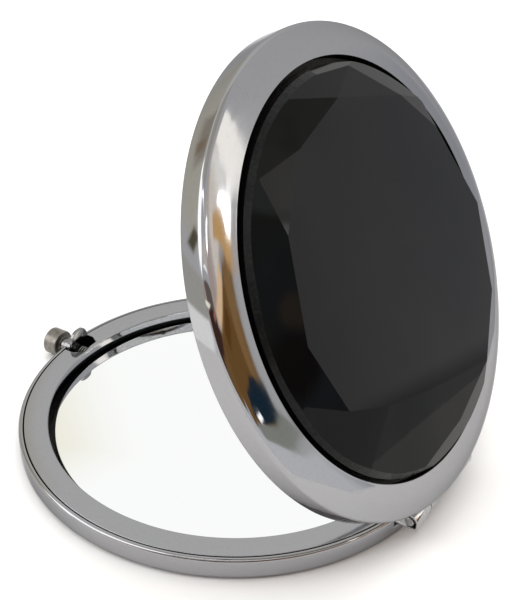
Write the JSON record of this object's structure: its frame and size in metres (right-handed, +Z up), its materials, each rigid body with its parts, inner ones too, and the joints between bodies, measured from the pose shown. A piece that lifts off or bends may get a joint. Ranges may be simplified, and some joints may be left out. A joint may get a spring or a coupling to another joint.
{
  "type": "folding makeup mirror",
  "caption": "Round pocket makeup mirror: two chromed halves on a rolled hinge, a mirror in each, a dark faceted glass set in the lid and a push-button catch.",
  "frame": {"origin": "centre of the base's flat underside, on the surface the mirror lies on", "axes": "+Z up out of the base mirror, +Y towards the hinge, -Y towards the push button, +X along the hinge pin"},
  "size_m": [0.07, 0.0784, 0.0687],
  "materials": {
    "base_shell": "polished nickel-chrome plate",
    "base_ring": "polished nickel-chrome plate",
    "base_mirror": "silvered glass",
    "base_mirror_pad": "adhesive foam",
    "base_hinge_leaf": "polished nickel-chrome plate",
    "hinge_pin": "drawn steel, plated",
    "button_bush": "polished nickel-chrome plate",
    "latch_spring": "spring wire",
    "push_button": "satin nickel",
    "latch_catch": "polished nickel-chrome plate",
    "lid_frame": "polished nickel-chrome plate",
    "lid_inner_ring": "polished nickel-chrome plate",
    "lid_mirror": "silvered glass",
    "lid_mirror_pad": "adhesive foam",
    "crystal_backing": "black film",
    "crystal_glass": "dark faceted glass, polished",
    "lid_hinge_leaf": "polished nickel-chrome plate",
    "lid_strike": "polished nickel-chrome plate"
  },
  "bodies": {
    "base": {"base_shell": "base_shell", "base_ring": "base_ring", "base_mirror": "base_mirror", "base_mirror_pad": "base_mirror_pad", "base_hinge_leaf": "base_hinge_leaf", "hinge_pin": "hinge_pin", "button_bush": "button_bush", "latch_spring": "latch_spring"},
    "lid": {"lid_frame": "lid_frame", "lid_inner_ring": "lid_inner_ring", "lid_mirror": "lid_mirror", "lid_mirror_pad": "lid_mirror_pad", "crystal_backing": "crystal_backing", "crystal_glass": "crystal_glass", "lid_hinge_leaf": "lid_hinge_leaf", "lid_strike": "lid_strike"},
    "button": {"push_button": "push_button", "latch_catch": "latch_catch"}
  },
  "joints": [
    {"name": "lid_hinge", "type": "hinge", "parent": "base", "child": "lid", "pos_m": [0, 0.0358, 0.00415], "axis": [-1, 0, 0], "range_deg": [-62.9, 57.1]},
    {"name": "button_press", "type": "slide", "parent": "base", "child": "button", "axis": [0, 1, 0], "range_m": [0, 0.0008], "stiffness_N_per_m": 1500, "deforming": ["latch_spring"]}
  ]
}
